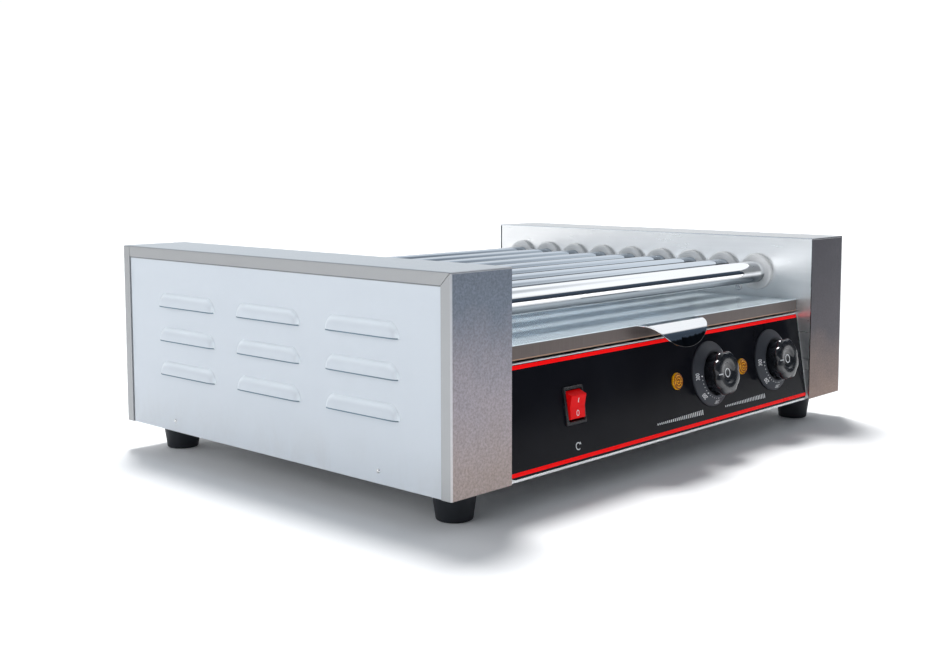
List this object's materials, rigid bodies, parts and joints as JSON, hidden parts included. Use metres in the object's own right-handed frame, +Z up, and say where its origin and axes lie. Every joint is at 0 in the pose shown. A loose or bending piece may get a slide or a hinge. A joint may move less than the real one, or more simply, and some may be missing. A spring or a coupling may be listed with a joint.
{
  "type": "hot dog roller grill",
  "caption": "Countertop roller grill: heated steel rollers turn between two sheet metal housings over a sliding drip tray, with a slanted front control panel.",
  "frame": {"origin": "on the floor plane, below the middle of the machine", "axes": "+Z up, -Y towards the operator, +X to the right as seen from the front, along the rollers"},
  "size_m": [0.584, 0.4465, 0.188],
  "materials": {
    "housing_stainless": "brushed, vertical grain",
    "plate_stainless": "brushed, soft smudges",
    "panel_stainless": "brushed",
    "tray_stainless": "polished",
    "handle_chrome": "polished",
    "roller_chrome": "polished, fine turning marks",
    "white_panel": "satin powder coat",
    "black_overlay": "gloss printed polyester",
    "galvanised_pan": "zinc coated, matt",
    "white_ptfe": "satin",
    "element_sheath": "heat tinted",
    "motor_black": "satin",
    "cast_case": "cast",
    "chain_steel": "oiled",
    "sprocket_steel": "machined, oiled",
    "switch_black": "gloss",
    "switch_red": "gloss",
    "amber_lens": "clear, faceted",
    "lamp_body": "moulded",
    "dial_grey": "fine matt",
    "knob_black": "gloss",
    "shaft_steel": "ground",
    "thermostat_body": "moulded",
    "terminal_plastic": "moulded",
    "gland_plastic": "moulded",
    "foot_rubber": "matt",
    "screw_steel": "zinc plated"
  },
  "bodies": {
    "frame": {"base_pan": "galvanised_pan", "cable_gland": "gland_plastic", "control_panel": "panel_stainless", "cover_rivets": "screw_steel", "deck_plate": "galvanised_pan", "drive_chain": "chain_steel", "element_carrier": "galvanised_pan", "foot_screws": "screw_steel", "gear_motor": "motor_black", "gearbox": "cast_case", "heating_elements": "element_sheath", "lamp_bodies": "lamp_body", "left_dial": "dial_grey", "left_housing_cover": "housing_stainless", "left_inner_plate": "plate_stainless", "left_side_panel": "white_panel", "motor_bracket": "galvanised_pan", "panel_overlay": "black_overlay", "pilot_lamps": "amber_lens", "plate_screws": "screw_steel", "rear_panel": "panel_stainless", "right_dial": "dial_grey", "right_housing_cover": "housing_stainless", "right_inner_plate": "plate_stainless", "right_side_panel": "white_panel", "rocker_bezel": "switch_black", "roller_bushings": "white_ptfe", "rubber_feet": "foot_rubber", "tensioner_bracket": "galvanised_pan", "terminal_block": "terminal_plastic", "thermostats": "thermostat_body", "tray_runners": "panel_stainless"},
    "roller_body_1": {"roller_1": "roller_chrome", "sprocket_1": "sprocket_steel"},
    "roller_body_2": {"roller_2": "roller_chrome", "sprocket_2": "sprocket_steel"},
    "roller_body_3": {"roller_3": "roller_chrome", "sprocket_3": "sprocket_steel"},
    "roller_body_4": {"roller_4": "roller_chrome", "sprocket_4": "sprocket_steel"},
    "roller_body_5": {"roller_5": "roller_chrome", "sprocket_5": "sprocket_steel"},
    "roller_body_6": {"roller_6": "roller_chrome", "sprocket_6": "sprocket_steel"},
    "roller_body_7": {"roller_7": "roller_chrome", "sprocket_7": "sprocket_steel"},
    "roller_body_8": {"roller_8": "roller_chrome", "sprocket_8": "sprocket_steel"},
    "roller_body_9": {"roller_9": "roller_chrome", "sprocket_9": "sprocket_steel"},
    "drive": {"drive_shaft": "shaft_steel", "drive_sprocket": "sprocket_steel"},
    "idler": {"idler_sprocket": "sprocket_steel"},
    "tray": {"drip_tray": "tray_stainless", "tray_handle": "handle_chrome"},
    "left_knob_body": {"left_knob": "knob_black", "left_knob_shaft": "shaft_steel"},
    "right_knob_body": {"right_knob": "knob_black", "right_knob_shaft": "shaft_steel"},
    "rocker": {"rocker_button": "switch_red"}
  },
  "joints": [
    {"name": "roller_1_spin", "type": "hinge", "parent": "frame", "child": "roller_body_1", "pos_m": [0, -0.1475, 0.1515], "axis": [1, 0, 0], "continuous": true, "deforming": ["drive_chain"]},
    {"name": "roller_2_spin", "type": "hinge", "parent": "frame", "child": "roller_body_2", "pos_m": [0, -0.1075, 0.1515], "axis": [1, 0, 0], "continuous": true},
    {"name": "roller_3_spin", "type": "hinge", "parent": "frame", "child": "roller_body_3", "pos_m": [0, -0.0675, 0.1515], "axis": [1, 0, 0], "continuous": true},
    {"name": "roller_4_spin", "type": "hinge", "parent": "frame", "child": "roller_body_4", "pos_m": [0, -0.0275, 0.1515], "axis": [1, 0, 0], "continuous": true},
    {"name": "roller_5_spin", "type": "hinge", "parent": "frame", "child": "roller_body_5", "pos_m": [0, 0.0125, 0.1515], "axis": [1, 0, 0], "continuous": true},
    {"name": "roller_6_spin", "type": "hinge", "parent": "frame", "child": "roller_body_6", "pos_m": [0, 0.0525, 0.1515], "axis": [1, 0, 0], "continuous": true},
    {"name": "roller_7_spin", "type": "hinge", "parent": "frame", "child": "roller_body_7", "pos_m": [0, 0.0925, 0.1515], "axis": [1, 0, 0], "continuous": true},
    {"name": "roller_8_spin", "type": "hinge", "parent": "frame", "child": "roller_body_8", "pos_m": [0, 0.1325, 0.1515], "axis": [1, 0, 0], "continuous": true},
    {"name": "roller_9_spin", "type": "hinge", "parent": "frame", "child": "roller_body_9", "pos_m": [0, 0.1725, 0.1515], "axis": [1, 0, 0], "continuous": true},
    {"name": "drive_spin", "type": "hinge", "parent": "frame", "child": "drive", "pos_m": [0, 0.06, 0.081], "axis": [1, 0, 0], "continuous": true},
    {"name": "idler_spin", "type": "hinge", "parent": "frame", "child": "idler", "pos_m": [0, -0.07, 0.09686], "axis": [1, 0, 0], "continuous": true},
    {"name": "tray_slide", "type": "slide", "parent": "frame", "child": "tray", "axis": [0, -1, 0], "range_m": [0, 0.36]},
    {"name": "left_knob_turn", "type": "hinge", "parent": "frame", "child": "left_knob_body", "pos_m": [0.056, -0.2008, 0.07231], "axis": [0, -0.9874, 0.1582], "range_deg": [0, 270]},
    {"name": "right_knob_turn", "type": "hinge", "parent": "frame", "child": "right_knob_body", "pos_m": [0.164, -0.2008, 0.07231], "axis": [0, -0.9874, 0.1582], "range_deg": [0, 270]},
    {"name": "rocker_tilt", "type": "hinge", "parent": "frame", "child": "rocker", "pos_m": [-0.1422, -0.19981, 0.07215], "axis": [-1, 0, 0], "range_deg": [0, 24]}
  ],
  "couplings": [
    {"joint": "roller_2_spin", "follows": "roller_1_spin", "ratio": 1},
    {"joint": "roller_3_spin", "follows": "roller_1_spin", "ratio": 1},
    {"joint": "roller_4_spin", "follows": "roller_1_spin", "ratio": 1},
    {"joint": "roller_5_spin", "follows": "roller_1_spin", "ratio": 1},
    {"joint": "roller_6_spin", "follows": "roller_1_spin", "ratio": 1},
    {"joint": "roller_7_spin", "follows": "roller_1_spin", "ratio": 1},
    {"joint": "roller_8_spin", "follows": "roller_1_spin", "ratio": 1},
    {"joint": "roller_9_spin", "follows": "roller_1_spin", "ratio": 1},
    {"joint": "drive_spin", "follows": "roller_1_spin", "ratio": 1.3333},
    {"joint": "idler_spin", "follows": "roller_1_spin", "ratio": 1.3333}
  ]
}
